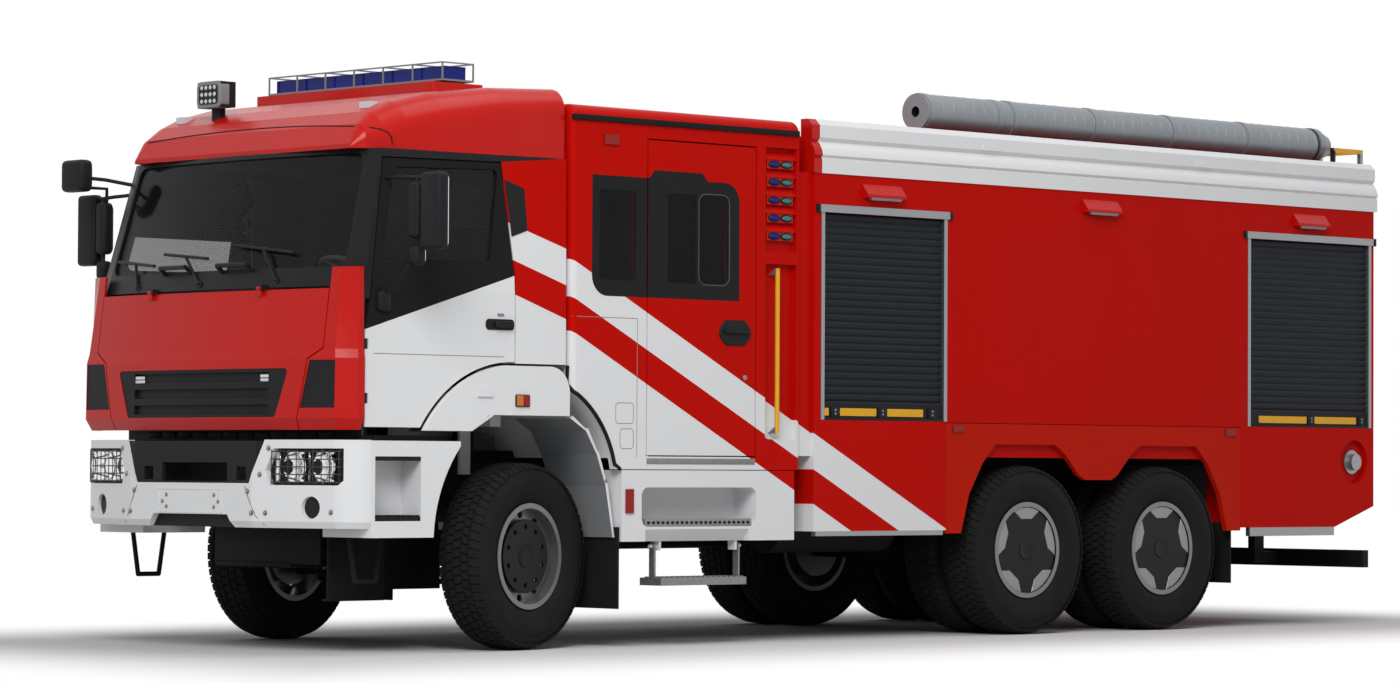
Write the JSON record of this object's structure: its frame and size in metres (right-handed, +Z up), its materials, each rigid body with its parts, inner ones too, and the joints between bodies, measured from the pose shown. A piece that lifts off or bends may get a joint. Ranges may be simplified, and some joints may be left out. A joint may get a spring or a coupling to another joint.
{
  "type": "water tanker fire truck",
  "caption": "Three-axle fire truck with a lift-up front panel, steered front wheels, crew module, tank body with roller shutters and a roof hose tube.",
  "frame": {"origin": "on the ground, under the middle of the box around the truck", "axes": "+X forward, +Y to the left, +Z up"},
  "size_m": [9.27, 3.35, 3.4115],
  "materials": {
    "red_paint": "gloss red fire-service paint",
    "white_paint": "gloss white paint",
    "black_steel": "satin black chassis paint",
    "black_plastic": "grained black plastic",
    "tyre": "black tyre rubber",
    "rim": "silver wheel paint",
    "glass": "tinted safety glass",
    "rubber": "black rubber",
    "shutter": "dark blue-grey anodised slats",
    "aluminium": "satin aluminium",
    "lens": "clear and coloured lamp lenses",
    "seat": "dark seat cloth",
    "steel": "galvanised steel",
    "grey_plastic": "grey plastic"
  },
  "bodies": {
    "chassis": {"arch_panels": "red_paint", "axles": "black_steel", "body_shell": "red_paint", "bumper": "white_paint", "cab_corners": "red_paint", "cab_roof": "red_paint", "cab_shell": "red_paint", "corner_steps": "white_paint", "cornices": "white_paint", "crew_shell": "red_paint", "crew_sills": "white_paint", "dashboard": "black_plastic", "fixed_glass": "glass", "frame": "black_steel", "front_fenders": "white_paint", "front_guards": "white_paint", "front_trim": "black_plastic", "hose_tube": "grey_plastic", "inlet_couplings": "aluminium", "lamps": "lens", "leaf_springs": "black_steel", "mud_flaps": "rubber", "powertrain": "black_steel", "rear_ladder": "steel", "roof_lights": "black_plastic", "seats": "seat", "shutter_rails": "aluminium", "shutters": "shutter", "side_tanks": "black_steel", "underride_bar": "black_steel", "wiper_cowl": "black_plastic"},
    "knuckle_left": {"knuckle_left": "black_steel"},
    "knuckle_right": {"knuckle_right": "black_steel"},
    "tie_rod": {"tie_rod": "black_steel"},
    "front_wheel_left": {"front_tyre_left": "tyre", "front_rim_left": "rim"},
    "front_wheel_right": {"front_tyre_right": "tyre", "front_rim_right": "rim"},
    "rear_wheel_1_left": {"rear_tyres_1_left": "tyre", "rear_rims_1_left": "rim"},
    "rear_wheel_1_right": {"rear_tyres_1_right": "tyre", "rear_rims_1_right": "rim"},
    "rear_wheel_2_left": {"rear_tyres_2_left": "tyre", "rear_rims_2_left": "rim"},
    "rear_wheel_2_right": {"rear_tyres_2_right": "tyre", "rear_rims_2_right": "rim"},
    "cab_door_left": {"cab_door_left": "red_paint", "cab_door_glass_left": "glass", "mirror_left": "black_plastic"},
    "cab_door_right": {"cab_door_right": "red_paint", "cab_door_glass_right": "glass", "mirror_right": "black_plastic"},
    "crew_door_left": {"crew_door_left": "red_paint", "crew_door_glass_left": "glass"},
    "crew_door_right": {"crew_door_right": "red_paint", "crew_door_glass_right": "glass"},
    "front_panel": {"front_panel": "red_paint", "grille": "black_plastic"},
    "fold_step_left": {"fold_step_left": "steel"},
    "fold_step_right": {"fold_step_right": "steel"}
  },
  "joints": [
    {"name": "steer_left", "type": "hinge", "parent": "chassis", "child": "knuckle_left", "pos_m": [3.135, 0.85, 0.535], "axis": [0, 0, 1], "range_deg": [-47.7, 24.3]},
    {"name": "steer_right", "type": "hinge", "parent": "chassis", "child": "knuckle_right", "pos_m": [3.135, -0.85, 0.535], "axis": [0, 0, 1], "range_deg": [-47.7, 24.3]},
    {"name": "tie_rod_pivot", "type": "hinge", "parent": "knuckle_left", "child": "tie_rod", "pos_m": [2.93916, 0.80944, 0.369], "axis": [0, 0, 1], "range_deg": [-24.3, 47.7]},
    {"name": "front_wheel_left_spin", "type": "hinge", "parent": "knuckle_left", "child": "front_wheel_left", "pos_m": [3.09951, 1.02136, 0.535], "axis": [-0.2028, 0.9792, 0], "continuous": true},
    {"name": "front_wheel_right_spin", "type": "hinge", "parent": "knuckle_right", "child": "front_wheel_right", "pos_m": [3.17049, -1.02136, 0.535], "axis": [-0.2028, 0.9792, 0], "continuous": true},
    {"name": "rear_wheel_1_left_spin", "type": "hinge", "parent": "chassis", "child": "rear_wheel_1_left", "pos_m": [-1.065, 0.945, 0.535], "axis": [0, 1, 0], "continuous": true},
    {"name": "rear_wheel_1_right_spin", "type": "hinge", "parent": "chassis", "child": "rear_wheel_1_right", "pos_m": [-1.065, -0.945, 0.535], "axis": [0, 1, 0], "continuous": true},
    {"name": "rear_wheel_2_left_spin", "type": "hinge", "parent": "chassis", "child": "rear_wheel_2_left", "pos_m": [-2.385, 0.945, 0.535], "axis": [0, 1, 0], "continuous": true},
    {"name": "rear_wheel_2_right_spin", "type": "hinge", "parent": "chassis", "child": "rear_wheel_2_right", "pos_m": [-2.385, -0.945, 0.535], "axis": [0, 1, 0], "continuous": true},
    {"name": "cab_door_left_hinge", "type": "hinge", "parent": "chassis", "child": "cab_door_left", "pos_m": [4.357, 1.21, 1.57], "axis": [0, 0, -1], "range_deg": [0, 70]},
    {"name": "cab_door_right_hinge", "type": "hinge", "parent": "chassis", "child": "cab_door_right", "pos_m": [4.357, -1.21, 1.57], "axis": [0, 0, 1], "range_deg": [0, 70]},
    {"name": "crew_door_left_hinge", "type": "hinge", "parent": "chassis", "child": "crew_door_left", "pos_m": [2.256, 1.24, 2.038], "axis": [0, 0, -1], "range_deg": [0, 85]},
    {"name": "crew_door_right_hinge", "type": "hinge", "parent": "chassis", "child": "crew_door_right", "pos_m": [2.256, -1.24, 2.038], "axis": [0, 0, 1], "range_deg": [0, 85]},
    {"name": "front_panel_lift", "type": "hinge", "parent": "chassis", "child": "front_panel", "pos_m": [4.549, 0, 2.036], "axis": [0, -1, 0], "range_deg": [0, 60]},
    {"name": "fold_step_left_swing", "type": "hinge", "parent": "chassis", "child": "fold_step_left", "pos_m": [1.79, 1.16, 0.585], "axis": [-1, 0, 0], "range_deg": [0, 60]},
    {"name": "fold_step_right_swing", "type": "hinge", "parent": "chassis", "child": "fold_step_right", "pos_m": [1.79, -1.16, 0.585], "axis": [1, 0, 0], "range_deg": [0, 60]}
  ],
  "couplings": [
    {"joint": "steer_right", "follows": "steer_left", "ratio": 1},
    {"joint": "tie_rod_pivot", "follows": "steer_left", "ratio": -1}
  ]
}
